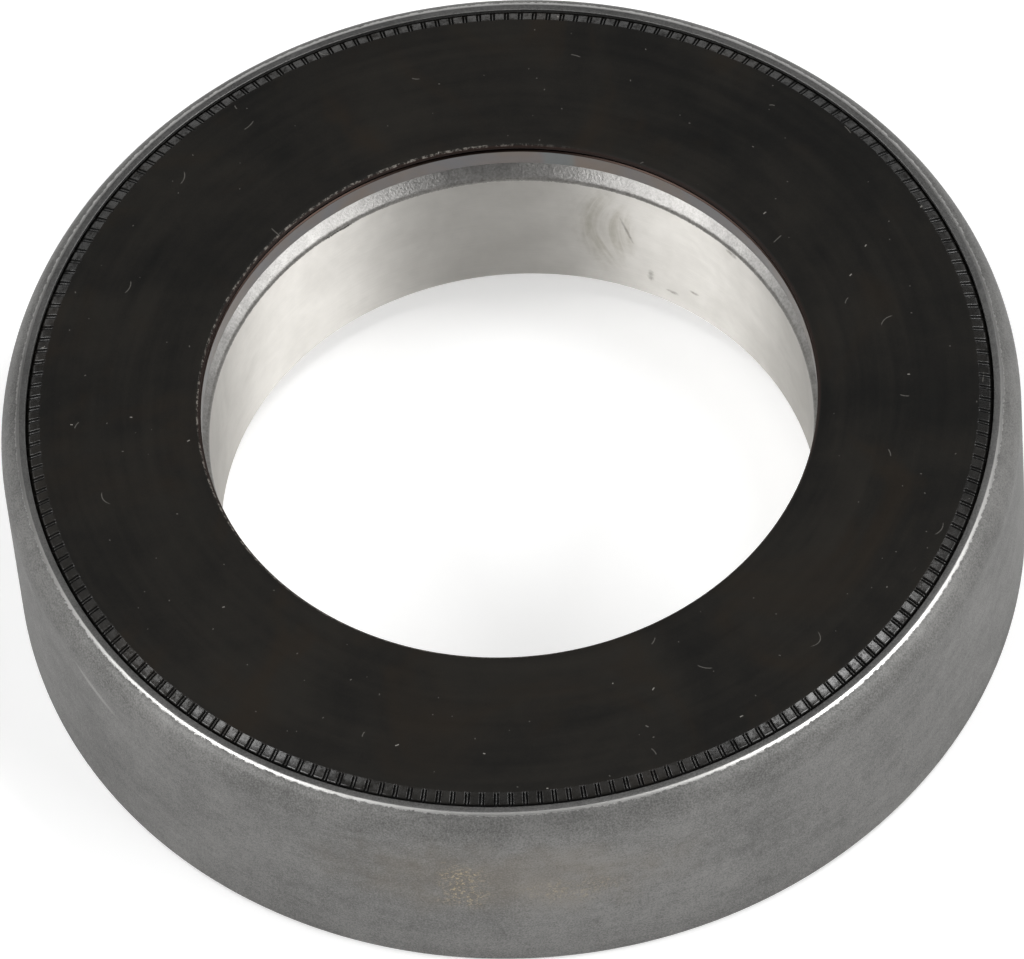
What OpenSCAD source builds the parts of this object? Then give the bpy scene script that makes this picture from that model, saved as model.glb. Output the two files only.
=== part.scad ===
// Clutch release bearing: a sealed single-row angular contact ball bearing.
// Millimetres. The bearing axis is Z, the back face of the outer ring lies on Z = 0
// and the seal that faces the clutch is at the top.

/* [Rings] */
// Bore diameter of the inner ring
bore_d = 70; // [66:0.5:72]
// Outside diameter of the outer ring
outside_d = 118; // [116:0.5:124]
// Width of the outer ring
outer_w = 28; // [27:0.5:34]
// How far the rear end of the inner ring lies inside the rear rim
rear_recess = 2.8; // [2.2:0.1:4]
// Small chamfer on the outer corners of the inner ring
ring_chamfer = 0.5; // [0.2:0.1:0.8]

/* [Outside of the outer ring] */
// Radius of the shoulder between the front rim and the outside cylinder
shoulder_r = 5.6; // [4.8:0.1:6.5]
// Height of the shoulder below the front rim
shoulder_h = 4.1; // [3.6:0.1:4.4]
// Radius of the corner between the rim land and the shoulder
rim_corner_r = 2; // [1.2:0.1:2.4]
// Radius of the rear corner
rear_corner_r = 1; // [0.5:0.1:1.5]

/* [Bore] */
// Height of the plain entry at the front of the bore
entry_h = 2.4; // [1:0.1:4]
// Small chamfer at the top of the entry
entry_chamfer = 0.15; // [0.1:0.05:0.3]
// Length of the lead-in chamfer between the entry and the bore
lead_h = 2.9; // [1.5:0.1:5]
// Radial depth of the chamfers at both ends of the bore
lead_depth = 0.6; // [0.3:0.05:0.7]
// Length of the chamfer at the rear of the bore
rear_lead_h = 1; // [0.5:0.1:3]

/* [Balls] */
// Ball diameter as a share of the height between bore and outside
ball_share = 0.5953; // [0.54:0.0001:0.62]
// Number of balls
ball_count = 16; // [10:1:16]
// Contact angle, measured from the plane of the balls
contact_angle = 30; // [15:1:40]
// Raceway radius as a share of the ball diameter
conformity = 0.52; // [0.515:0.005:0.54]
// Running gap between ball and raceway at the contact
running_gap = 0.05; // [0.02:0.01:0.1]
// Height of the shoulder that takes the thrust, as a share of the ball diameter
thrust_share = 0.266; // [0.21:0.002:0.29]
// Height of the relieved shoulder that the balls are loaded over, as a share of the ball diameter
low_share = 0.098; // [0.06:0.002:0.16]

/* [Cage] */
// Radial thickness of the cage as a share of the ball diameter
cage_share = 0.322; // [0.25:0.002:0.35]
// Thickness of the cage under the deepest point of a pocket
cage_back = 2.2; // [1.2:0.1:3]
// Reach of the cage horns past the middle of the balls
horn_reach = 3.2; // [2:0.1:4]
// Width of the slot between two neighbouring horns
horn_slot = 1.6; // [0.8:0.1:2.4]
// Depth of that slot below the horn tips
horn_slot_h = 4.6; // [3:0.1:6]
// Gap between ball and pocket
pocket_gap = 0.2; // [0.1:0.05:0.3]

/* [Seals] */
// Radial width of the rim round the seal
rim_w = 3.1; // [2.8:0.1:3.6]
// Depth of the snap groove behind the rim
snap_depth = 0.45; // [0.2:0.05:0.6]
// How far the front seal stands proud of the rim
front_proud = 0.35; // [0:0.05:0.5]
// How far the rear seal is sunk below the back face
rear_sunk = 0.4; // [0.2:0.05:0.6]
// Depth of the seat below the face of the seal
seat_h = 2.35; // [2.2:0.05:2.6]
// Height of the bead in the groove
bead_h = 0.9; // [0.6:0.05:1.1]
// Radial width of the bead
bead_w = 3.7; // [2.5:0.1:4.2]
// Thickness of the seal plate
plate_t = 1.6; // [1.2:0.1:1.8]
// Radial run of the slopes under the plate
under_slope = 0.5; // [0.2:0.1:0.8]
// Thickness of the front seal where it covers the end of the inner ring
edge_t = 0.55; // [0.45:0.05:1]
// Gap between that cover and the end of the inner ring
cover_gap = 0.2; // [0.15:0.05:0.4]
// Bevel on the inner edge of the cover
edge_bevel = 0.35; // [0.1:0.05:0.4]
// How far the inner edge of the cover stands back from the entry of the bore
edge_gap = 0.15; // [0.05:0.05:0.5]
// Reach of the lip of the front seal below its face
front_lip_h = 2.6; // [2:0.1:3.4]
// Radial reach of the lip of the rear seal
rear_lip_w = 1.7; // [1.2:0.1:2.4]
// Radial thickness of that lip where it leaves the plate
rear_lip_root = 1.5; // [1:0.1:2]
// Thickness of the sealing lips at their tips
lip_t = 0.5; // [0.3:0.05:0.6]
// Gap between the sealing lips and the inner ring
lip_gap = 0.1; // [0.05:0.01:0.15]
// Fit gap round the bead
seal_fit = 0.05; // [0.02:0.01:0.1]

/* [Serrated edge of the seals] */
// Number of ribs round the edge
rib_count = 210; // [120:1:220]
// Radial length of the bevel that the ribs stand on
rib_l = 1.4; // [0.8:0.1:1.8]
// Drop of the bevel from the face of the seal
rib_drop = 0.46; // [0.3:0.02:0.6]
// Radial gap between the ribs and the rim
rib_gap = 0.3; // [0.2:0.05:0.5]
// Width of the notch between two ribs
notch_w = 0.45; // [0.3:0.05:0.7]
// Depth of the notch below the bevel
notch_depth = 0.3; // [0.15:0.05:0.4]

/* [Hidden] */
$fn = 128;

// Overlap that makes cuts run clear of the faces they open
clear = 1;
// Arcs run this far past the line they blend into, so that each ends on a definite edge
run_out = 0.01;

bore_r = bore_d / 2;
outside_r = outside_d / 2;
ball_d = ball_share * (outside_r - bore_r);
ball_r = ball_d / 2;
thrust_shoulder = thrust_share * ball_d;
low_shoulder = low_share * ball_d;
cage_t = cage_share * ball_d;
pitch_r = (bore_r + outside_r) / 2;
mid_z = outer_w / 2;
rear_end_z = rear_recess;

// The centre of each raceway is set back from the ball along the line of contact
raceway_r = conformity * ball_d;
set_back = raceway_r - ball_r - running_gap;
set_back_r = set_back * cos(contact_angle);
set_back_z = set_back * sin(contact_angle);
outer_race = [pitch_r - set_back_r, mid_z - set_back_z];
inner_race = [pitch_r + set_back_r, mid_z + set_back_z];
outer_bottom_r = outer_race.x + raceway_r;
inner_bottom_r = inner_race.x - raceway_r;
outer_thrust_r = outer_bottom_r - thrust_shoulder;
outer_low_r = outer_bottom_r - low_shoulder;
inner_thrust_r = inner_bottom_r + thrust_shoulder;
inner_low_r = inner_bottom_r + low_shoulder;

mouth_r = outside_r - rim_w;
groove_r = mouth_r + snap_depth;
front_face_z = outer_w + front_proud;
rear_face_z = rear_sunk;
front_end_z = front_face_z - edge_t - cover_gap;
entry_r = bore_r + lead_depth;
rib_out_r = mouth_r - rib_gap;
rib_in_r = rib_out_r - rib_l;
rib_angle = atan2(rib_drop, rib_l);

cage_bottom_z = mid_z - ball_r - pocket_gap - cage_back;
cage_top_z = mid_z + horn_reach;

function ball_name(i) = str("ball_", i < 10 ? "0" : "", i);

// Everything outward of an arc, from the height low upwards
module outside_of_arc(centre, radius, low) {
    difference() {
        translate([centre.x, low])
            square([radius + clear, centre.y - low + radius + clear]);
        translate(centre)
            circle(r = radius);
    }
}

// Front shoulder: a long arc into the outside cylinder and a small one into the rim land
module front_shoulder_cut() {
    shoulder = [outside_r - shoulder_r + run_out, outer_w - shoulder_h];
    corner_z = outer_w - rim_corner_r + run_out;
    between = shoulder_r - rim_corner_r + run_out;
    corner = [shoulder.x + sqrt(between ^ 2 - (corner_z - shoulder.y) ^ 2), corner_z];
    meet_angle = atan2(corner.y - shoulder.y, corner.x - shoulder.x);
    outside_of_arc(shoulder, shoulder_r, shoulder.y);
    outside_of_arc(corner, rim_corner_r, shoulder.y + shoulder_r * sin(meet_angle));
}

module rear_corner_cut() {
    centre = [outside_r - rear_corner_r + run_out, -(rear_corner_r - run_out)];
    mirror([0, 1])
        outside_of_arc(centre, rear_corner_r, centre.y);
}

// Seat of a seal in the outer ring, drawn for a seal whose face is at height 0 and looks up:
// a ledge, a snap groove and a mouth that is narrower than the groove
module seal_seat(land_r) {
    groove_top = bead_h + 2 * seal_fit - seat_h;
    polygon([
        [land_r - clear, -seat_h],
        [groove_r, -seat_h],
        [groove_r, groove_top],
        [mouth_r, groove_top + snap_depth],
        [mouth_r, clear],
        [land_r - clear, clear]
    ]);
}

module outer_ring() {
    color("dimgray")
    rotate_extrude()
    difference() {
        polygon([
            [outer_low_r, 0],
            [outside_r, 0],
            [outside_r, outer_w],
            [outer_thrust_r, outer_w],
            [outer_thrust_r, outer_race.y],
            [outer_low_r, outer_race.y]
        ]);
        front_shoulder_cut();
        rear_corner_cut();
        translate(outer_race)
            circle(r = raceway_r);
        translate([0, front_face_z])
            seal_seat(outer_thrust_r);
        translate([0, rear_face_z])
        mirror([0, 1])
            seal_seat(outer_low_r);
    }
}

module inner_ring() {
    color("silver")
    rotate_extrude()
    difference() {
        polygon([
            [bore_r, rear_end_z + rear_lead_h],
            [entry_r, rear_end_z],
            [inner_thrust_r - ring_chamfer, rear_end_z],
            [inner_thrust_r, rear_end_z + ring_chamfer],
            [inner_thrust_r, inner_race.y],
            [inner_low_r, inner_race.y],
            [inner_low_r, front_end_z - ring_chamfer],
            [inner_low_r - ring_chamfer, front_end_z],
            [entry_r + entry_chamfer, front_end_z],
            [entry_r, front_end_z - entry_chamfer],
            [entry_r, front_end_z - entry_h],
            [bore_r, front_end_z - entry_h - lead_h]
        ]);
        translate(inner_race)
            circle(r = raceway_r);
    }
}

// A moulded seal, face up at height 0. Its section goes from the given inner edge, which starts on
// the face and ends under the plate, to the bead and the bevel with the notches between the ribs.
module seal(inner_edge) {
    bead_r = groove_r - seal_fit;
    bead_z = seal_fit - seat_h;
    bead_top = bead_z + bead_h;
    bead = [
        [bead_r - bead_w - under_slope, -plate_t],
        [bead_r - bead_w, bead_z],
        [bead_r, bead_z],
        [bead_r, bead_top],
        [rib_out_r, bead_top + bead_r - rib_out_r],
        [rib_out_r, -rib_drop],
        [rib_in_r, 0]
    ];
    color([0.12, 0.12, 0.115])
    difference() {
        rotate_extrude()
            polygon(concat(inner_edge, bead));
        for (i = [0 : rib_count - 1])
            rotate(i * 360 / rib_count)
            translate([rib_in_r, 0, 0])
            rotate([0, rib_angle, 0])
            translate([0, -notch_w / 2, -notch_depth])
                cube([rib_l + clear, notch_w, notch_depth + clear]);
    }
}

// The front seal covers the end of the inner ring, and its lip runs on the low shoulder of that ring
module front_seal() {
    edge_r = entry_r + edge_gap;
    tip_r = inner_low_r + lip_gap;
    translate([0, 0, front_face_z])
        seal([
            [edge_r + edge_bevel, 0],
            [edge_r, -edge_bevel],
            [edge_r, -edge_t],
            [tip_r, -edge_t],
            [tip_r, -front_lip_h],
            [tip_r + lip_t, -front_lip_h],
            [tip_r + lip_t + under_slope, -plate_t]
        ]);
}

// The rear seal leaves the end of the inner ring free, and its lip runs on the shoulder of that ring
module rear_seal() {
    lip_r = inner_thrust_r + rear_lip_w;
    tip_r = inner_thrust_r + lip_gap;
    tip_start = rear_end_z - rear_face_z + ring_chamfer + lip_gap;
    translate([0, 0, rear_face_z])
    mirror([0, 0, 1])
        seal([
            [lip_r, 0],
            [tip_r, -tip_start],
            [tip_r, -tip_start - lip_t],
            [lip_r + rear_lip_root, -plate_t]
        ]);
}

// Places its children at ball number i
module at_ball(i) {
    rotate((i - 1) * 360 / ball_count)
    translate([pitch_r, 0, mid_z])
        children();
}

// Snap-in cage: a ring with round pockets that open upwards between pairs of horns
module cage() {
    color("burlywood")
    difference() {
        rotate_extrude()
        translate([pitch_r - cage_t / 2, cage_bottom_z])
            square([cage_t, cage_top_z - cage_bottom_z]);
        for (i = [1 : ball_count])
            at_ball(i)
                sphere(r = ball_r + pocket_gap);
        for (i = [1 : ball_count])
            at_ball(i + 0.5)
            translate([-cage_t / 2 - clear, -horn_slot / 2, horn_reach - horn_slot_h])
                cube([cage_t + 2 * clear, horn_slot, horn_slot_h + clear]);
    }
}

module ball(i) {
    color("lightgray")
    at_ball(i)
        sphere(d = ball_d);
}

outer_ring();
inner_ring();
front_seal();
rear_seal();
cage();
for (i = [1 : ball_count])
    ball(i);
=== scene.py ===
"""Clutch release bearing: turned rings, moulded seals and their finishes, with a plain studio."""
import math

import bpy
import numpy as np
from mathutils import Matrix, Vector


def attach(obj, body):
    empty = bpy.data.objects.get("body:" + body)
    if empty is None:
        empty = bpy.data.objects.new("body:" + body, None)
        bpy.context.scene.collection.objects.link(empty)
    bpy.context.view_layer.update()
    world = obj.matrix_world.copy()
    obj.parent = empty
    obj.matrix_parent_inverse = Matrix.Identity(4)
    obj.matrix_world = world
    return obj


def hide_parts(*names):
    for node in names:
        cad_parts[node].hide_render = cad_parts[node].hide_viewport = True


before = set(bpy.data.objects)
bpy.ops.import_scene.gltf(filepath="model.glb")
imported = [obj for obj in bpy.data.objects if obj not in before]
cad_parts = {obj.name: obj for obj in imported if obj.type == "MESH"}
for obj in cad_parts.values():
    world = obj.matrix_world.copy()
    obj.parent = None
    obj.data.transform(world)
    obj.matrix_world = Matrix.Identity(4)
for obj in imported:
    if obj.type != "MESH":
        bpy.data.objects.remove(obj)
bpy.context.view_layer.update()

MM = 0.001

# Sizes in millimetres, with LEAD_TILT in degrees
BORE_R = 35.0
OUTSIDE_R = 59.0
RIM_Z = 28.0
FRONT_FACE_Z = 28.35
REAR_FACE_Z = 0.4
RING_FRONT_Z = 27.6
RING_REAR_Z = 2.8
ENTRY_R = 35.6
ENTRY_Z = 25.2
ENTRY_CHAMFER = 0.15
RELIEF_R = 36.5
LEAD_START_Z = 22.43
LEAD_R = 0.9
LEAD_TILT = 48
REAR_LEAD_Z = 3.8
RING_CHAMFER = 0.5
SHOULDER_CENTRE = (53.4, 23.9)
SHOULDER_R = 5.6
RIM_CORNER_R = 2.0
REAR_CORNER_R = 1.0
MOUTH_R = 55.9
GROOVE_R = 56.35
RACEWAY_R = 7.42934
OUTER_RACE = (46.79584, 13.88213)
INNER_RACE = (47.20416, 14.11787)
OUTER_THRUST_R = 50.4248
OUTER_LOW_R = 52.825
INNER_THRUST_R = 43.5752
INNER_LOW_R = 41.175
SEAT_DEPTH = 2.35
GROOVE_DEPTH = 1.35
MOUTH_DEPTH = 0.9
RIBS = 210
RIB_IN_R = 54.2
RIB_OUT_R = 55.6
RIB_DROP = 0.46
NOTCH_DEPTH = 0.28
SEAL_FIT = 0.05
LIP_GAP = 0.1
LIP_EDGE_R = 35.75
LIP_BEVEL = 0.35
PLATE_T = 1.6
BEAD_SEAM = 3.0
BEAD_FOOT = 3.7
BEAD_SLOPE = 4.2
WORN_EDGE_R = 56.66
RING_STEPS = 480
BORE_STEPS = 400


# Outlines

def arc(centre, radius, start, end, count):
    """Centre plus radius times (cos a, sin a), with a even from start to end in degrees."""
    a = np.radians(np.linspace(start, end, count))
    return np.column_stack((centre[0] + radius * np.cos(a), centre[1] + radius * np.sin(a)))


def edge_breaks(points, radii, count=5, lead=0.03):
    """Rounds the inner corners of an open line of (r, z) points.

    Each corner becomes an arc of its own radius that touches both sides: the arc starts at the
    corner minus tan(turn / 2) times the radius along the incoming side, and its centre stands the
    radius to the left or right of that point. A point a short lead before and after each arc
    keeps the flats flat under smooth shading.
    """
    points = np.asarray(points, float)
    radii = np.broadcast_to(np.asarray(radii, float), (len(points) - 2,))[:, None]
    way_in = points[1:-1] - points[:-2]
    way_out = points[2:] - points[1:-1]
    way_in /= np.linalg.norm(way_in, axis=1, keepdims=True)
    way_out /= np.linalg.norm(way_out, axis=1, keepdims=True)
    cross = way_in[:, 0] * way_out[:, 1] - way_in[:, 1] * way_out[:, 0]
    turn = np.arctan2(cross, np.sum(way_in * way_out, axis=1))[:, None]
    side = np.sign(turn)
    left = np.column_stack((-way_in[:, 1], way_in[:, 0]))
    start = points[1:-1] - way_in * radii * np.abs(np.tan(turn / 2))
    centre = start + left * side * radii
    angle = turn * np.linspace(0, 1, count)[None, :]
    arm = start - centre
    rounded = np.stack((
        centre[:, :1] + arm[:, :1] * np.cos(angle) - arm[:, 1:] * np.sin(angle),
        centre[:, 1:] + arm[:, :1] * np.sin(angle) + arm[:, 1:] * np.cos(angle)), axis=2)
    if not lead:
        return rounded.reshape(-1, 2)
    before = rounded[:, :1] - way_in[:, None, :] * lead
    after = rounded[:, -1:] + way_out[:, None, :] * lead
    return np.concatenate((before, rounded, after), axis=1).reshape(-1, 2)


def outer_ring_outline():
    """Half section of the outer ring, anticlockwise from the rear corner: outside cylinder, shoulder
    arc, rim corner arc, rim land, front seat, raceway arc, rear seat and back face."""
    between = SHOULDER_R - RIM_CORNER_R
    rise = RIM_Z - RIM_CORNER_R - SHOULDER_CENTRE[1]
    rim_centre = (SHOULDER_CENTRE[0] + math.sqrt(between ** 2 - rise ** 2), RIM_Z - RIM_CORNER_R)
    meet = math.degrees(math.atan2(rise, rim_centre[0] - SHOULDER_CENTRE[0]))
    thrust_angle = math.degrees(math.acos((OUTER_THRUST_R - OUTER_RACE[0]) / RACEWAY_R))
    low_angle = -math.degrees(math.acos((OUTER_LOW_R - OUTER_RACE[0]) / RACEWAY_R))
    race = arc(OUTER_RACE, RACEWAY_R, thrust_angle, low_angle, 24)
    rear_centre = (OUTSIDE_R - REAR_CORNER_R, REAR_CORNER_R)
    front_seat = edge_breaks([
        (rim_centre[0], RIM_Z),
        (MOUTH_R, RIM_Z),
        (MOUTH_R, FRONT_FACE_Z - MOUTH_DEPTH),
        (GROOVE_R, FRONT_FACE_Z - GROOVE_DEPTH),
        (GROOVE_R, FRONT_FACE_Z - SEAT_DEPTH),
        (OUTER_THRUST_R, FRONT_FACE_Z - SEAT_DEPTH),
        tuple(race[0])], [0.1, 0.06, 0.06, 0.12, 0.3])
    rear_seat = edge_breaks([
        tuple(race[-1]),
        (OUTER_LOW_R, REAR_FACE_Z + SEAT_DEPTH),
        (GROOVE_R, REAR_FACE_Z + SEAT_DEPTH),
        (GROOVE_R, REAR_FACE_Z + GROOVE_DEPTH),
        (MOUTH_R, REAR_FACE_Z + MOUTH_DEPTH),
        (MOUTH_R, 0.0),
        (rear_centre[0], 0.0)], [0.3, 0.12, 0.06, 0.06, 0.12])
    side = np.column_stack((
        np.full(5, OUTSIDE_R),
        np.linspace(REAR_CORNER_R + 0.05, SHOULDER_CENTRE[1] - 0.05, 5)))
    return np.vstack((
        arc(rear_centre, REAR_CORNER_R, -90, 0, 9),
        side,
        arc(SHOULDER_CENTRE, SHOULDER_R, 0, meet, 18),
        arc(rim_centre, RIM_CORNER_R, meet, 90, 18)[1:],
        front_seat,
        race,
        rear_seat))


def inner_ring_outline():
    """Half section of the inner ring, anticlockwise from the rear end face: thrust shoulder, raceway
    arc, low shoulder, front end face, plain entry, relief, coned lead-in, bore and rear chamfer."""
    thrust_angle = 180 + math.degrees(math.acos((INNER_RACE[0] - INNER_THRUST_R) / RACEWAY_R))
    low_angle = 180 - math.degrees(math.acos((INNER_RACE[0] - INNER_LOW_R) / RACEWAY_R))
    race = arc(INNER_RACE, RACEWAY_R, thrust_angle, low_angle, 24)
    seam = (INNER_THRUST_R - 4, RING_REAR_Z)
    rear = edge_breaks([
        seam,
        (INNER_THRUST_R - RING_CHAMFER, RING_REAR_Z),
        (INNER_THRUST_R, RING_REAR_Z + RING_CHAMFER),
        tuple(race[0])], 0.1)
    lead = arc((BORE_R + LEAD_R, LEAD_START_Z), LEAD_R, 180 - LEAD_TILT, 180, 8)
    cone_z = lead[0][1] + (RELIEF_R - lead[0][0]) / math.tan(math.radians(LEAD_TILT))
    cone = lead[0] + np.array([[0.95], [0.5], [0.04]]) * (np.array([RELIEF_R, cone_z]) - lead[0])
    front = edge_breaks([
        tuple(race[-1]),
        (INNER_LOW_R, RING_FRONT_Z - RING_CHAMFER),
        (INNER_LOW_R - RING_CHAMFER, RING_FRONT_Z),
        (ENTRY_R + ENTRY_CHAMFER, RING_FRONT_Z),
        (ENTRY_R, RING_FRONT_Z - ENTRY_CHAMFER),
        (ENTRY_R, ENTRY_Z),
        (RELIEF_R, ENTRY_Z - 0.1),
        (RELIEF_R, cone_z),
        tuple(lead[0])], [0.1, 0.1, 0.05, 0.05, 0.05, 0.1, 0.05])
    bore = np.column_stack((
        np.full(4, BORE_R),
        np.linspace(LEAD_START_Z - 0.3, REAR_LEAD_Z + 0.3, 4)))
    back = edge_breaks([
        (BORE_R, LEAD_START_Z),
        (BORE_R, REAR_LEAD_Z),
        (ENTRY_R, RING_REAR_Z),
        seam], [0.2, 0.1])
    return np.vstack((rear, race, front, cone, lead, bore, back))


# Surfaces

def grid_mesh(name, points):
    """Closes a (steps round, points along) grid of positions in both directions and makes it a mesh.

    Quad (i, j) joins (i, j), (i + 1, j), (i + 1, j + 1) and (i, j + 1), both counts wrapping round.
    """
    steps, along = points.shape[:2]
    index = np.arange(steps * along).reshape(steps, along)
    ahead = np.roll(index, -1, axis=0)
    quads = np.stack((index, ahead, np.roll(ahead, -1, axis=1), np.roll(index, -1, axis=1)), axis=2)
    mesh = bpy.data.meshes.new(name)
    mesh.vertices.add(steps * along)
    mesh.vertices.foreach_set("co", (points.reshape(-1) * MM).astype(np.float32))
    mesh.loops.add(quads.size)
    mesh.loops.foreach_set("vertex_index", quads.reshape(-1).astype(np.int32))
    mesh.polygons.add(steps * along)
    mesh.polygons.foreach_set("loop_start", np.arange(0, quads.size, 4, dtype=np.int32))
    mesh.polygons.foreach_set("use_smooth", np.ones(steps * along, bool))
    mesh.update(calc_edges=True)
    mesh.validate()
    piece = bpy.data.objects.new(name, mesh)
    bpy.context.scene.collection.objects.link(piece)
    return piece


def turned_ring(name, outline, steps):
    """An outline carried round the axis: (r cos t, r sin t, z) for even angles t."""
    t = np.linspace(0, 2 * np.pi, steps, endpoint=False)[:, None]
    r, z = outline[None, :, 0], outline[None, :, 1]
    return grid_mesh(name, np.stack((r * np.cos(t), r * np.sin(t), z + 0 * t), axis=2))


# One rib of the seal's edge, as shares of the pitch from the middle of a notch, and how much of
# the rib's height stands there: a thin web in the notch, its floor, a steep flank and a flat top
RIB_SHARE = np.array([
    0.0, 0.045, 0.07, 0.15, 0.172, 0.2, 0.225,
    0.775, 0.8, 0.828, 0.85, 0.93, 0.955])
RIB_HEIGHT = np.array([
    0.8, 0.7, 0.0, 0.0, 0.75, 1.0, 1.0,
    1.0, 1.0, 0.75, 0.0, 0.0, 0.7])
RIB_UNEVEN = 0.012


def moulded_seal(name, lip, face_z, up):
    """A seal carried round the axis, with ribs round its edge.

    Radius and height come from the outline. Where the outline crosses the bevel, the height drops by
    the notch depth times the row's share times (1 - rib height), with the rib height a function of
    the angle. Each rib also stands a little higher or lower than its neighbours.
    """
    bead_r = GROOVE_R - SEAL_FIT
    back_z = SEAL_FIT - SEAT_DEPTH
    slope = RIB_DROP / (RIB_OUT_R - RIB_IN_R)
    outward = RIB_OUT_R - np.array([0.0, 0.0, 0.06, 0.18, 0.26, 0.7])
    inward = RIB_IN_R + np.array([0.14, 0.1, 0.03, -0.06])
    bevel_r = np.concatenate((outward, inward))
    ease = np.array([0.3, 0.19, 0.085, 0.01, 0.0, -0.003, 0.0, 0.0, 0.0, 0.0])
    notched = np.array([0.0, 0.6, 1.0, 1.0, 1.0, 1.0, 1.0, 1.0, 0.45, 0.0])
    bevel_z = -(bevel_r - RIB_IN_R).clip(0) * slope - ease
    bead = edge_breaks([
        (bead_r - BEAD_SEAM, back_z),
        (bead_r, back_z),
        (bead_r, -GROOVE_DEPTH - SEAL_FIT),
        (RIB_OUT_R, bevel_z[0])], 0.1, count=2, lead=0.0)
    flat_end = lip[0][0] + 0.5
    flat_r = np.array([RIB_IN_R - 0.1, RIB_IN_R - 0.2, RIB_IN_R - 9.0, flat_end])
    flat_z = np.zeros(len(flat_r))
    plate = edge_breaks([
        (flat_end, 0.0),
        *lip,
        (bead_r - BEAD_SLOPE, -PLATE_T),
        (bead_r - BEAD_FOOT, back_z),
        (bead_r - BEAD_SEAM, back_z)], 0.04, count=2, lead=0.0)
    outline = np.vstack((
        bead,
        np.column_stack((bevel_r, bevel_z)),
        np.column_stack((flat_r, flat_z)),
        plate))
    share = np.concatenate((np.zeros(len(bead)), notched, np.zeros(len(flat_r) + len(plate))))
    pick = np.random.default_rng(11)
    level = np.repeat(pick.normal(0, RIB_UNEVEN, RIBS), len(RIB_SHARE))
    rib = np.tile(RIB_HEIGHT, RIBS)
    t = ((np.arange(RIBS)[:, None] + RIB_SHARE[None, :]) * 2 * np.pi / RIBS).reshape(-1)
    drop = share[None, :] * ((1 - rib) * NOTCH_DEPTH - rib * level)[:, None]
    r = outline[None, :, 0] + 0 * drop
    z = face_z + up * (outline[None, :, 1] - drop)
    turn = t[:, None] * up
    return grid_mesh(name, np.stack((r * np.cos(turn), r * np.sin(turn), z), axis=2))


# Finishes

class Value:
    """One output socket. Arithmetic with it adds Math nodes to the tree it belongs to."""

    def __init__(self, nodes, socket):
        self.nodes = nodes
        self.socket = socket

    def math(self, operation, *terms):
        """One Math node on values and numbers."""
        return self.nodes.node("ShaderNodeMath", {"operation": operation}, dict(enumerate(terms)))

    def __add__(self, other):
        return self.math("ADD", self, other)

    def __sub__(self, other):
        return self.math("SUBTRACT", self, other)

    def __rsub__(self, other):
        return self.math("SUBTRACT", other, self)

    def __mul__(self, other):
        return self.math("MULTIPLY", self, other)

    def __truediv__(self, other):
        return self.math("DIVIDE", self, other)

    def __pow__(self, other):
        return self.math("POWER", self, other)

    __radd__ = __add__
    __rmul__ = __mul__

    def size(self):
        """Absolute value."""
        return self.math("ABSOLUTE", self)

    def larger(self, other):
        """The larger of two values."""
        return self.math("MAXIMUM", self, other)

    def rise(self, low, high):
        """0 below low, 1 above high and a smooth step between; falls instead where low > high."""
        ends = (low, high, 0.0, 1.0) if low < high else (high, low, 1.0, 0.0)
        return self.nodes.node("ShaderNodeMapRange", {"interpolation_type": "SMOOTHSTEP"}, {
            "Value": self, "From Min": ends[0], "From Max": ends[1], "To Min": ends[2], "To Max": ends[3]})


class Nodes:
    """The node tree of a material or a world. Every node comes from node()."""

    def __init__(self, owner):
        owner.use_nodes = True
        self.tree = owner.node_tree
        self.tree.nodes.clear()

    def node(self, kind, settings=None, inputs=None, output=0):
        """Adds a node, sets its settings first, then each input's value or link, and gives an output."""
        made = self.tree.nodes.new(kind)
        for key, value in (settings or {}).items():
            setattr(made, key, value)
        for key, value in (inputs or {}).items():
            if isinstance(value, Value):
                self.tree.links.new(value.socket, made.inputs[key])
            else:
                made.inputs[key].default_value = value
        return Value(self, made.outputs[output]) if made.outputs else None

    def rays(self):
        """Three values, each 1 for its own kind of ray: the camera's, a reflection's, one through glass."""
        return (self.node("ShaderNodeLightPath", output=name)
                for name in ("Is Camera Ray", "Is Glossy Ray", "Is Transmission Ray"))


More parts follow.
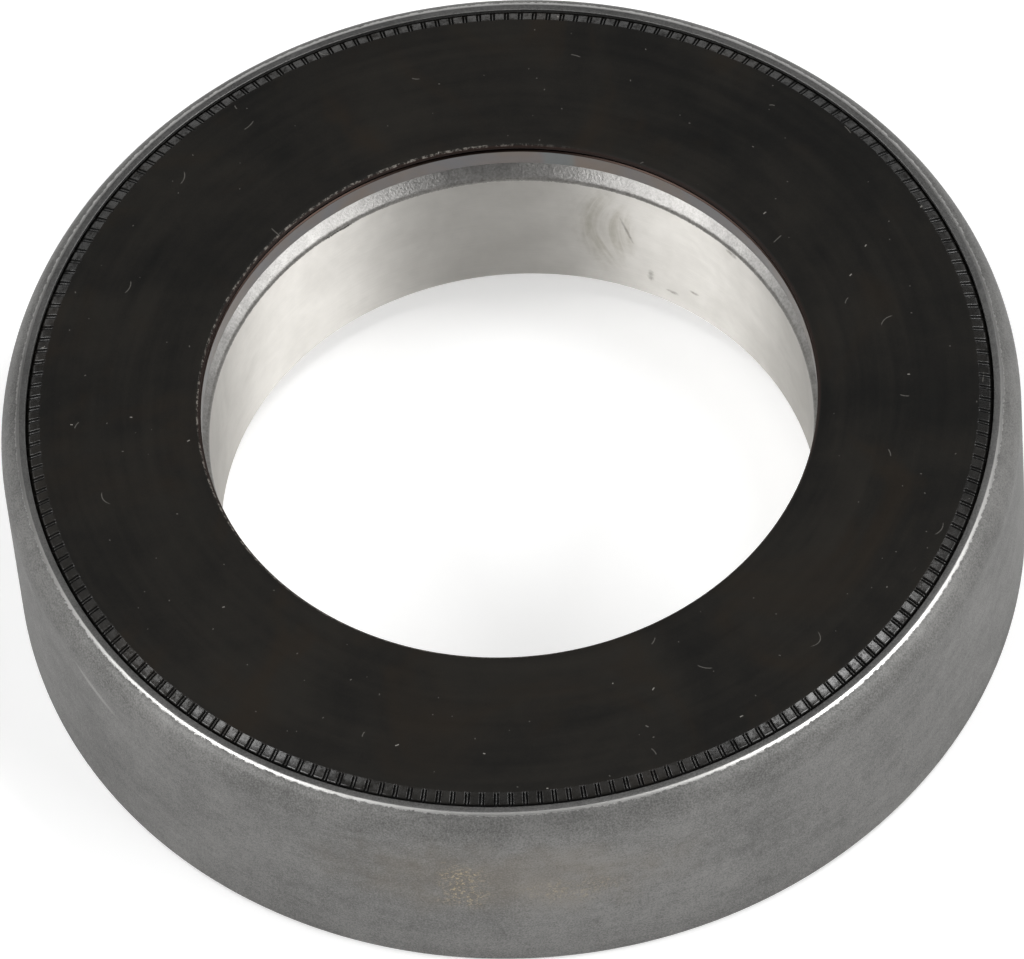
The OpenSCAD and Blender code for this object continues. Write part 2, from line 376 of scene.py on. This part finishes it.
class Finish(Nodes):
    """A material, with x, y, z and the radius r on the piece as values in millimetres."""

    def __init__(self, name):
        self.material = bpy.data.materials.new(name)
        super().__init__(self.material)
        self.place = self.node("ShaderNodeTexCoord", output="Object")
        self.mm = self.node("ShaderNodeVectorMath", {"operation": "SCALE"}, {0: self.place, "Scale": 1 / MM})
        self.x, self.y, self.z = (self.part("XYZ", self.mm, i) for i in range(3))
        self.r = (self.x * self.x + self.y * self.y) ** 0.5
        self.cos = self.x / self.r
        self.sin = self.y / self.r

    def part(self, kind, whole, number):
        """One of the three numbers of a vector (XYZ) or a colour (Color)."""
        return self.node("ShaderNodeSeparate" + kind, {}, {0: whole}, number)

    def vector(self, x, y, z):
        """Three values as one vector."""
        return self.node("ShaderNodeCombineXYZ", {}, {0: x, 1: y, 2: z})

    def noise(self, where, scale, detail=2.0, rough=0.5, twist=0.0):
        """Cloudy value about 0, from -0.5 to 0.5."""
        return self.node("ShaderNodeTexNoise", {}, {
            "Vector": where, "Scale": scale, "Detail": detail, "Roughness": rough, "Distortion": twist}) - 0.5

    def mix(self, factor, a, b):
        """Colour a where the factor is 0, b where it is 1."""
        first, second = (colour if isinstance(colour, Value) else (*colour, 1.0) for colour in (a, b))
        return self.node("ShaderNodeMix", {"data_type": "RGBA"}, {0: factor, 6: first, 7: second}, output=2)

    def bump(self, height, depth):
        """A normal bent by a height times a depth in millimetres."""
        return self.node("ShaderNodeBump", {}, {"Strength": 1.0, "Distance": depth * MM, "Height": height})

    def along(self, across, turns):
        """Coordinates drawn out round the axis: turns sets how often a streak changes in a circle."""
        return self.vector(self.cos * turns, self.sin * turns, across)

    def turn_arc(self, toward, radius):
        """Millimetres round a wall of this radius from its +Y side (toward 1) or its -Y side (-1)."""
        return self.x.math("ARCTAN2", self.x, self.y * toward) * radius

    def blot(self, across, up, reach_across, reach_up, ragged, inner=0.35):
        """1 inside an oval about the zero of two distances, 0 outside, with a ragged edge."""
        return ((across / reach_across) ** 2.0 + (up / reach_up) ** 2.0 + ragged).rise(1.0, inner)

    def fibres(self, spacing, share, length, width):
        """Short bent strokes on a flat face, at most one in each cell of a random pattern.

        In a cell the place is taken from its seed and turned by a random angle to (u, v); a stroke is
        where |v + bend u^2| is below the width and |u| below the length.
        """
        cell = {"voronoi_dimensions": "2D"}
        inputs = {"Vector": self.mm, "Scale": 1 / spacing}
        seed = self.node("ShaderNodeTexVoronoi", cell, inputs, "Position")
        chance = self.node("ShaderNodeTexVoronoi", cell, inputs, "Color")
        first, second, third = (self.part("Color", chance, i) for i in range(3))
        away = self.node("ShaderNodeVectorMath", {"operation": "SUBTRACT"}, {0: self.mm, 1: seed})
        full_turn = 6.283
        turned = {"Vector": away, "Angle": first * full_turn}
        away = self.node("ShaderNodeVectorRotate", {"rotation_type": "Z_AXIS"}, turned)
        u, v = (self.part("XYZ", away, i) for i in range(2))
        bent = v + u * u * (second - 0.5) * 1.2
        reach = u.size() / (0.35 + second)
        stroke = bent.size().rise(width, width * 0.3) * reach.rise(length, length * 0.7)
        return stroke * third.rise(1 - share, 1.01 - share)

    def shader(self, **inputs):
        """A Principled shader; spaces in socket names are written as underscores."""
        sockets = {key.replace("_", " "): value for key, value in inputs.items()}
        return self.node("ShaderNodeBsdfPrincipled", {}, sockets)

    def done(self, shader):
        """Links a shader to the output and gives the material."""
        self.node("ShaderNodeOutputMaterial", {}, {"Surface": shader})
        return self.material


def outer_ring_steel():
    """Blasted steel: fine speckle, soft patches, pale rubs, a brown bloom and a bright worn edge."""
    f = Finish("outer_ring_steel")
    speckle = f.noise(f.mm, 4.8, 2.0, 0.7)
    mottle = f.noise(f.mm, 0.5, 5.0, 0.65)
    cloud = f.noise(f.mm, 0.06, 3.0, 0.5, 0.6)
    lines = f.noise(f.along(f.z * 1.1, 6.0), 1.0, 3.0, 0.6)
    tone = 0.5 + speckle * 1.35 + mottle * 0.45 + cloud * 0.6 + lines * 0.25
    steel = f.mix(tone.rise(0.0, 1.0), (0.106, 0.105, 0.102), (0.272, 0.269, 0.261))
    arc_mm = f.turn_arc(-1.0, OUTSIDE_R)
    ragged = f.noise(f.mm, 0.25, 4.0, 0.6) * 1.6
    haze = f.blot(arc_mm + 6.0, f.z - 17.0, 26.0, 9.0, ragged, -0.3)
    steel = f.mix(haze * 0.3, steel, (0.21, 0.175, 0.13))
    dots = f.noise(f.mm, 2.4, 3.0, 0.7).rise(0.0, 0.16)
    bloom = (f.blot(arc_mm + 10.6, f.z - 15.8, 4.2, 6.4, ragged, -0.3)
             + f.blot(arc_mm - 2.0, f.z - 14.5, 9.0, 4.0, ragged, -0.4) * 0.5)
    steel = f.mix(bloom.rise(0.0, 1.0) * dots * 0.8, steel, (0.47, 0.39, 0.25))
    streak = f.blot(arc_mm + 60.0, f.z - 22.5 + (arc_mm + 60.0) * 0.25, 5.0, 0.7, ragged * 0.6, -0.3)
    steel = f.mix(streak * 0.45, steel, (0.46, 0.455, 0.44))
    chips = f.noise(f.mm, 1.7, 3.0, 0.65) * 0.7
    past_land = f.r.rise(WORN_EDGE_R - 0.06, WORN_EDGE_R + 0.06)
    edge = f.z.rise(26.6, 26.9) * past_land * (f.r + chips).rise(57.12, 56.98)
    steel = f.mix(edge * 0.9, steel, (0.58, 0.574, 0.56))
    land = f.z.rise(RIM_Z - 0.3, RIM_Z - 0.15) * f.r.rise(WORN_EDGE_R + 0.06, WORN_EDGE_R - 0.06)
    steel = f.mix(land * 0.4, steel, (0.1, 0.1, 0.1))
    ground = f.r.rise(55.2, 54.9)
    steel = f.mix(ground, steel, (0.5, 0.49, 0.47))
    rough = 0.6 + speckle * 0.14 + cloud * 0.08 - edge * 0.28 - ground * 0.3 - land * 0.1
    height = (speckle * 1.1 + mottle * 0.5) * (1 - edge * 0.8) + lines * 0.3
    return f.done(f.shader(Base_Color=steel, Metallic=1.0, Roughness=rough, Normal=f.bump(height, 0.03)))


def inner_ring_steel():
    """Bore ground round the axis, with smears and stains; coarse lead-in with painted shade along its lower
    edge; smooth darker entry above it, with a painted shadow on its top chamfer.
    """
    f = Finish("inner_ring_steel")
    fine = f.noise(f.mm, 3.4, 3.0, 0.65)
    mottle = f.noise(f.mm, 0.6, 4.0, 0.6)
    cloud = f.noise(f.mm, 0.09, 3.0, 0.5, 1.2)
    grind = f.noise(f.along(f.z * 9.0, 5.0), 1.0, 3.0, 0.65)
    ragged = f.noise(f.mm, 1.1, 4.0, 0.7) * 3.0
    arc_mm = f.turn_arc(1.0, BORE_R)
    bore = f.mix((0.5 + cloud * 0.7 + grind * 0.4 + mottle * 0.4).rise(0.05, 0.95),
                 (0.56, 0.544, 0.516), (0.725, 0.708, 0.675))
    curl = arc_mm - (f.z - 14.0) * (f.z - 14.0) * 0.04
    swirl = f.noise(f.vector(curl * 0.5, f.z * 0.06, 0.0), 1.0, 4.0, 0.6, 1.4).rise(-0.2, 0.2)
    smear = f.blot(arc_mm - 13.5, f.z - 14.5, 4.6, 9.5, ragged * 0.3, -0.2) * swirl
    stroke = f.blot(arc_mm - 16.2 + (f.z - 15.7) * 0.32, f.z - 15.2, 0.3, 2.8, ragged * 0.35, -0.2)
    frayed = ragged * 0.55
    drips = (f.blot(arc_mm - 19.1, f.z - 7.6, 0.6, 1.5, frayed, -0.6)
             + f.blot(arc_mm - 22.0, f.z - 6.1, 1.1, 0.45, frayed, -0.6)
             + f.blot(arc_mm - 25.1, f.z - 8.2, 0.9, 0.4, frayed, -0.6)
             + f.blot(arc_mm - 31.6, f.z - 22.0, 1.2, 0.7, frayed, -0.6))
    bore = f.mix(smear * 0.62, bore, (0.32, 0.295, 0.235))
    bore = f.mix((drips + stroke * 0.7).rise(0.0, 1.0) * 0.72, bore, (0.13, 0.12, 0.1))
    lead = f.mix((0.5 + fine * 0.8 + mottle * 0.5 + cloud * 0.5).rise(0.1, 0.9),
                 (0.19, 0.186, 0.18), (0.385, 0.378, 0.365))
    # Painted shade: the lead-in is darkened towards its lower edge, where it turns down into the bore
    painted_lead_foot_shade = (f.z + fine * 0.9).rise(LEAD_START_Z + 0.77, LEAD_START_Z + 0.07)
    lead = f.mix(painted_lead_foot_shade * 0.36, lead, (0.12, 0.111, 0.098))
    brown = (0.5 + cloud * 1.6 + mottle * 0.3).rise(0.1, 0.9)
    entry = f.mix(brown, (0.152, 0.15, 0.155), (0.172, 0.143, 0.122))
    tint = f.blot(arc_mm - 8.5, f.z - 26.4, 2.2, 4.0, ragged * 0.1)
    entry = f.mix(tint * 0.7, entry, (0.15, 0.165, 0.165))
    # Painted shadow: the entry's top chamfer is coloured near black-brown for the shade under the seal's lip
    chamfer_z = RING_FRONT_Z - ENTRY_CHAMFER
    entry = f.mix(f.z.rise(chamfer_z - 0.1, chamfer_z), entry, (0.035, 0.024, 0.02))
    on_entry = f.z.rise(ENTRY_Z - 0.03, ENTRY_Z + 0.03)
    above_bore = (f.z + fine * 0.5).rise(LEAD_START_Z - 0.05, LEAD_START_Z + 0.1)
    on_lead = above_bore * (1 - on_entry) * f.r.rise(RELIEF_R + 0.5, RELIEF_R + 0.3)
    nick = f.blot(arc_mm + 18.8, f.z - LEAD_START_Z + fine * 0.8, 2.7, 0.17, ragged * 0.15)
    bore, lead = (f.mix(nick * 0.9, colour, (0.03, 0.028, 0.025)) for colour in (bore, lead))
    ground = f.shader(Base_Color=bore, Metallic=1.0, Roughness=0.56 + grind * 0.1 + mottle * 0.1,
                      Anisotropic=0.9, Anisotropic_Rotation=0.25, Normal=f.bump(grind * 0.15, 0.03))
    coarse = f.shader(Base_Color=f.mix(on_entry, lead, entry), Metallic=1.0,
                      Roughness=0.3 + on_lead * (0.1 + fine * 0.2),
                      Normal=f.bump(on_lead * fine * 1.3 + grind * 0.1, 0.03))
    above = (on_lead + on_entry).rise(0.0, 1.0)
    return f.done(f.node("ShaderNodeMixShader", {}, {0: above, 1: ground, 2: coarse}))


def seal_rubber():
    """Matt black rubber: soft rings from the mould, brown bloom, lint and scuffs, shiny worn rib tops, and
    painted shade in the notches between the ribs.
    """
    f = Finish("seal_rubber")
    fine = f.noise(f.mm, 4.0, 3.0, 0.65)
    mottle = f.noise(f.mm, 0.35, 4.0, 0.6)
    cloud = f.noise(f.mm, 0.05, 3.0, 0.5, 0.8)
    rings = f.noise(f.along(f.r * 0.8, 1.6), 1.0, 3.0, 0.55)
    tone = (0.5 + cloud * 1.1 + rings * 0.5 + mottle * 0.4 + fine * 0.3).rise(0.05, 0.95)
    rubber = f.mix(tone, (0.0054, 0.0053, 0.005), (0.0152, 0.0136, 0.0112))
    lint = (f.fibres(7.5, 0.26, 0.9, 0.09) * 0.22 + f.fibres(4.6, 0.07, 0.2, 0.1) * 0.6
            + f.fibres(2.3, 0.12, 0.1, 0.09) * 0.25)
    brown = f.noise(f.mm, 0.045, 3.0, 0.6, 1.5).rise(0.0, 0.2)
    rubber = f.mix(brown * 0.5, rubber, (0.0165, 0.0118, 0.0076))
    rubber = f.mix(lint * (fine + 0.8).rise(0.3, 0.9), rubber, (0.36, 0.345, 0.315))
    lip = f.r.rise(36.25, 36.15) * f.z.rise(27.7, 27.8)
    crumbs = f.noise(f.mm, 1.9, 3.0, 0.75).rise(-0.04, 0.14) * f.x.rise(14.0, -8.0)
    rubber = f.mix(lip * f.r.rise(36.02, 35.92), rubber, (0.018, 0.011, 0.009))
    on_bevel = lip * f.r.rise(35.86, 35.92) * f.r.rise(36.14, 36.06)
    rubber = f.mix(on_bevel * crumbs * 0.45, rubber, (0.4, 0.37, 0.33))
    slope = RIB_DROP / (RIB_OUT_R - RIB_IN_R)
    middle = (FRONT_FACE_Z + REAR_FACE_Z) / 2
    depth = FRONT_FACE_Z - middle - (f.r - RIB_IN_R) * slope - (f.z - middle).size()
    ribs = f.r.rise(RIB_IN_R - 0.05, RIB_IN_R + 0.1) * f.r.rise(RIB_OUT_R + 0.1, RIB_OUT_R - 0.05)
    notch_painted_shade = ribs * depth.rise(0.06, 0.2)
    rubbed = f.noise(f.mm, 0.9, 2.0, 0.6)
    worn = ribs * (1 - notch_painted_shade) * (0.5 + rubbed * 1.5 + fine * 1.2 + mottle * 0.5).rise(0.0, 0.75)
    # Painted shade: the notch floors between the ribs are coloured darker than the rubber
    rubber = f.mix(notch_painted_shade, rubber, (0.003, 0.003, 0.003))
    rough = 0.56 + rings * 0.2 + cloud * 0.16 + fine * 0.12
    height = fine * 0.6 + mottle * 0.9 + rings * 0.8 + ribs * fine * 1.6
    return f.done(f.shader(Base_Color=rubber, Roughness=rough, Normal=f.bump(height, 0.03),
                           Specular_IOR_Level=0.12, Coat_Weight=worn, Coat_Roughness=0.22, Coat_IOR=1.58))


def cage_plastic():
    """Moulded fibre-filled plastic: pale straw with fine flow streaks."""
    f = Finish("cage_plastic")
    flow = f.noise(f.along(f.z * 0.8, 9.0), 1.0, 4.0, 0.6)
    fine = f.noise(f.mm, 2.4, 3.0, 0.6)
    colour = f.mix((0.5 + flow * 0.9 + fine * 0.5).rise(0.0, 1.0), (0.52, 0.43, 0.28), (0.72, 0.63, 0.46))
    return f.done(f.shader(Base_Color=colour, Roughness=0.5 + fine * 0.2, Normal=f.bump(fine + flow, 0.03)))


def ball_steel():
    """Lapped balls: bright steel with faint haze."""
    f = Finish("ball_steel")
    haze = f.noise(f.mm, 0.5, 4.0, 0.6)
    fine = f.noise(f.mm, 5.0, 2.0, 0.6)
    colour = f.mix((0.5 + haze + fine * 0.3).rise(0.0, 1.0), (0.66, 0.66, 0.67), (0.8, 0.8, 0.8))
    return f.done(f.shader(Base_Color=colour, Metallic=1.0, Roughness=0.12 + haze * 0.08,
                           Normal=f.bump(fine, 0.002)))


# Pieces

def dress(piece, material, body, node):
    """Puts a finish on a new piece, which rides on a body in place of a node."""
    piece.data.materials.append(material)
    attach(piece, body)
    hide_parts(node)


outer_finish = outer_ring_steel()
inner_finish = inner_ring_steel()
rubber_finish = seal_rubber()

outer_ring = turned_ring("outer_ring_turned", outer_ring_outline(), RING_STEPS)
dress(outer_ring, outer_finish, "outer", "outer_ring")
inner_ring = turned_ring("inner_ring_ground", inner_ring_outline(), BORE_STEPS)
dress(inner_ring, inner_finish, "inner", "inner_ring")

# Lips of the seals as (r, z) points, with z from the seal's own face
FRONT_LIP = [
    (LIP_EDGE_R + LIP_BEVEL, 0.0),
    (LIP_EDGE_R, -LIP_BEVEL),
    (LIP_EDGE_R, -0.55),
    (INNER_LOW_R + LIP_GAP, -0.55),
    (INNER_LOW_R + LIP_GAP, -2.6),
    (INNER_LOW_R + 0.6, -2.6),
    (INNER_LOW_R + 1.1, -PLATE_T)]
REAR_LIP = [
    (INNER_THRUST_R + 1.7, 0.0),
    (INNER_THRUST_R + LIP_GAP, -3.0),
    (INNER_THRUST_R + LIP_GAP, -3.5),
    (INNER_THRUST_R + 3.2, -PLATE_T)]
front_seal = moulded_seal("front_seal_moulding", FRONT_LIP, FRONT_FACE_Z, 1)
dress(front_seal, rubber_finish, "outer", "front_seal")
rear_seal = moulded_seal("rear_seal_moulding", REAR_LIP, REAR_FACE_Z, -1)
dress(rear_seal, rubber_finish, "outer", "rear_seal")

hidden_finishes = {"cage": cage_plastic(), "ball": ball_steel()}
for name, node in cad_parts.items():
    finish = hidden_finishes.get(name.split("_")[0])
    if finish:
        node.data.materials.clear()
        node.data.materials.append(finish)


# Studio

PHOTO_W = 1024
FOCAL_PX = 11405.5
VIEW_RISE = math.radians(55.4317)
VIEW_ROLL = math.radians(-5.5349)
VIEW_DISTANCE = 1.3143
VIEW_RIGHT = 0.00039
VIEW_UP = -0.00932
CENTRE = (0, 0, 0)
FLOOR_R = 4.0
CEILING_R = 3.2
CEILING_Z = 1.35
CEILING_Y = -1.0
DISC_STEPS = 96
SKY_LEVEL = 0.17


def photo_camera():
    """A long lens at the photo's rise and roll, aimed a little below the middle of the rim."""
    right = Vector((1, 0, 0))
    up = Vector((0, math.sin(VIEW_RISE), math.cos(VIEW_RISE)))
    back = Vector((0, -math.cos(VIEW_RISE), math.sin(VIEW_RISE)))
    c = math.cos(VIEW_ROLL)
    s = math.sin(VIEW_ROLL)
    image_right = right * c + up * s
    image_up = up * c - right * s
    data = bpy.data.cameras.new("photo_camera")
    data.sensor_fit = "HORIZONTAL"
    data.lens = FOCAL_PX / PHOTO_W * data.sensor_width
    camera = bpy.data.objects.new("photo_camera", data)
    rim = Vector((0, 0, RIM_Z * MM))
    place = rim + image_right * VIEW_RIGHT + image_up * VIEW_UP + back * VIEW_DISTANCE
    axes = Matrix((image_right, image_up, back)).transposed()
    camera.matrix_world = Matrix.Translation(place) @ axes.to_4x4()
    bpy.context.scene.collection.objects.link(camera)
    bpy.context.scene.camera = camera


def softbox(name, place, width, depth, watts):
    """A rectangular lamp that faces the middle of the set."""
    data = bpy.data.lights.new(name, "AREA")
    data.shape = "RECTANGLE"
    data.size = width
    data.size_y = depth
    data.energy = watts
    lamp = bpy.data.objects.new(name, data)
    lamp.location = place
    lamp.rotation_euler = (Vector(CENTRE) - Vector(place)).to_track_quat("-Z", "Y").to_euler()
    bpy.context.scene.collection.objects.link(lamp)


def disc(name, radius, z, up, y=0.0):
    """A flat disc with its edge at (radius cos t, y + radius sin t, z), facing up (1) or down (-1)."""
    t = np.linspace(0, 2 * np.pi, DISC_STEPS, endpoint=False) * up
    edge = np.column_stack((radius * np.cos(t), y + radius * np.sin(t), np.full(DISC_STEPS, z)))
    mesh = bpy.data.meshes.new(name)
    mesh.from_pydata(edge.tolist(), [], [list(range(DISC_STEPS))])
    piece = bpy.data.objects.new(name, mesh)
    bpy.context.scene.collection.objects.link(piece)
    return piece


def floor_glow(finish):
    """Lifts the floor's shadow a little, most for the camera and less in reflections and through glass."""
    camera, glossy, through = finish.rays()
    return camera * 0.35 + glossy * 0.2 + through * 0.2


def white_floor():
    """White paper that takes shadow and shows as white."""
    f = Finish("white_floor")
    paper = 0.86 + f.noise(f.place, 30.0, 3.0) * 0.02
    white = f.mix(paper, (0.0, 0.0, 0.0), (1.0, 1.0, 1.0))
    shade = f.shader(Base_Color=white, Roughness=0.9, Specular_IOR_Level=0.0)
    glow = f.node("ShaderNodeEmission", {}, {"Color": (1.0, 1.0, 1.0, 1.0), "Strength": floor_glow(f)})
    return f.done(f.node("ShaderNodeAddShader", {}, {0: shade, 1: glow}))


def dark_ceiling():
    """Dark cloth over the set, seen only in reflections."""
    f = Finish("dark_ceiling")
    weave = 0.06 + f.noise(f.place, 40.0, 2.0) * 0.02
    cloth = f.mix(weave, (0.0, 0.0, 0.0), (1.0, 1.0, 1.0))
    return f.done(f.shader(Base_Color=cloth, Roughness=0.95, Specular_IOR_Level=0.0))


def white_room():
    """A world that shows as white, and lights the set less than that."""
    world = bpy.data.worlds.new("white_room")
    bpy.context.scene.world = world
    room = Nodes(world)
    camera, glossy, through = room.rays()
    seen = camera.larger(glossy).larger(through)
    sky = room.node("ShaderNodeBackground", {}, {"Strength": SKY_LEVEL + seen * (1.0 - SKY_LEVEL)})
    room.node("ShaderNodeOutputWorld", {}, {"Surface": sky})


def studio():
    """Floor, dark ceiling, two softboxes for the ribs' shine, two side panels and the white room."""
    floor = disc("floor", FLOOR_R, 0.0, 1)
    floor.data.materials.append(white_floor())
    ceiling = disc("ceiling", CEILING_R, CEILING_Z, -1, CEILING_Y)
    ceiling.data.materials.append(dark_ceiling())
    ceiling.visible_camera = False
    ceiling.visible_diffuse = False
    ceiling.visible_shadow = False
    softbox("softbox_right", (0.437, 0.16, 1.105), 0.31, 0.31, 3.4)
    softbox("softbox_left", (-0.437, 0.16, 1.105), 0.31, 0.31, 2.1)
    softbox("side_panel_right", (0.924, -0.411, 0.735), 1.0, 0.42, 9.8)
    softbox("side_panel_left", (-0.924, -0.411, 0.735), 1.0, 0.42, 9.3)
    white_room()


photo_camera()
studio()
bpy.context.scene.view_settings.view_transform = "Standard"

bpy.context.view_layer.update()
